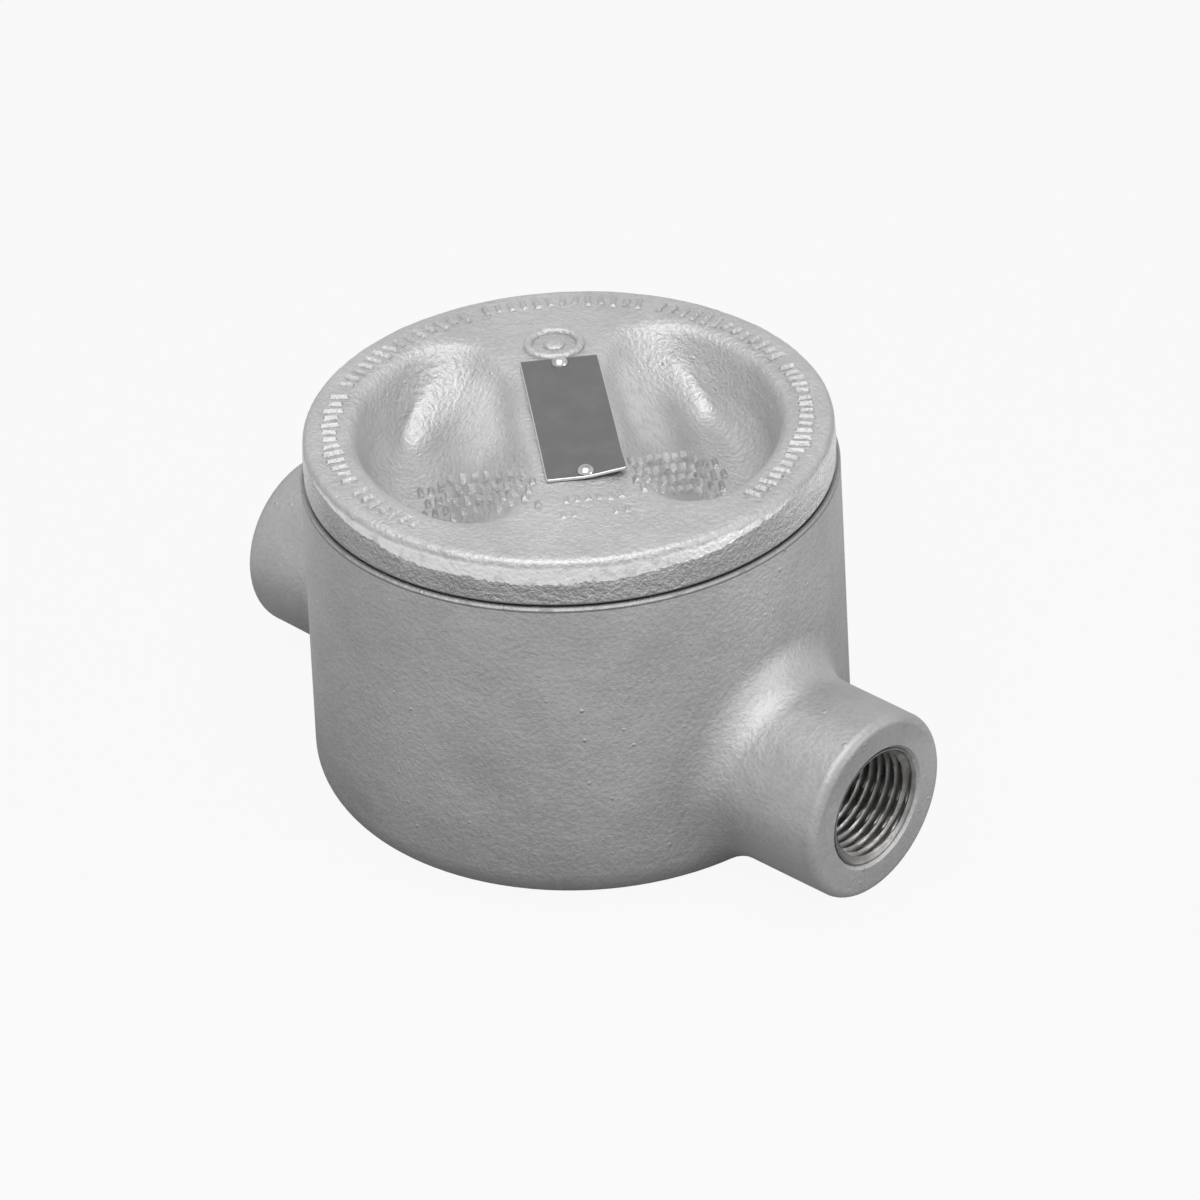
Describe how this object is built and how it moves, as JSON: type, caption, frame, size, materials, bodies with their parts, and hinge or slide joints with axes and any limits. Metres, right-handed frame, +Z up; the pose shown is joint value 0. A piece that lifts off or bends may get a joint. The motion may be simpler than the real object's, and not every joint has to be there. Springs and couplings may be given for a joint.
{
  "type": "conduit outlet box",
  "caption": "Round cast-iron conduit outlet box with opposite threaded hubs and a screw-in cover with finger wells.",
  "frame": {"origin": "centre of the underside of the box, on the surface that it stands on", "axes": "+X along the two conduit hubs, +Z up through the cover, +Y across"},
  "size_m": [0.1396, 0.0976, 0.0712],
  "materials": {
    "cast_body": "cast iron with silver-grey enamel, machined rim",
    "cast_cover": "cast iron with silver-grey enamel",
    "seal_rubber": "black rubber",
    "plate_metal": "dark matt sheet metal with bright edges",
    "screw_steel": "bright steel",
    "earth_brass": "plain brass"
  },
  "bodies": {
    "box": {"box_body": "cast_body", "ground_screw": "earth_brass", "ground_washer": "earth_brass"},
    "seal": {"cover_o_ring": "seal_rubber"},
    "cover": {"cover": "cast_cover", "nameplate": "plate_metal", "drive_screw_rear": "screw_steel", "drive_screw_front": "screw_steel"}
  },
  "joints": [
    {"name": "cover_lift", "type": "slide", "parent": "box", "child": "seal", "axis": [0, 0, 1], "range_m": [0, 0.01271]},
    {"name": "cover_turn", "type": "hinge", "parent": "seal", "child": "cover", "pos_m": [0, 0, 0.0605], "axis": [0, 0, 1], "range_deg": [0, 2160]}
  ],
  "couplings": [
    {"joint": "cover_lift", "follows": "cover_turn", "m_per_rad": 0.0003369}
  ]
}
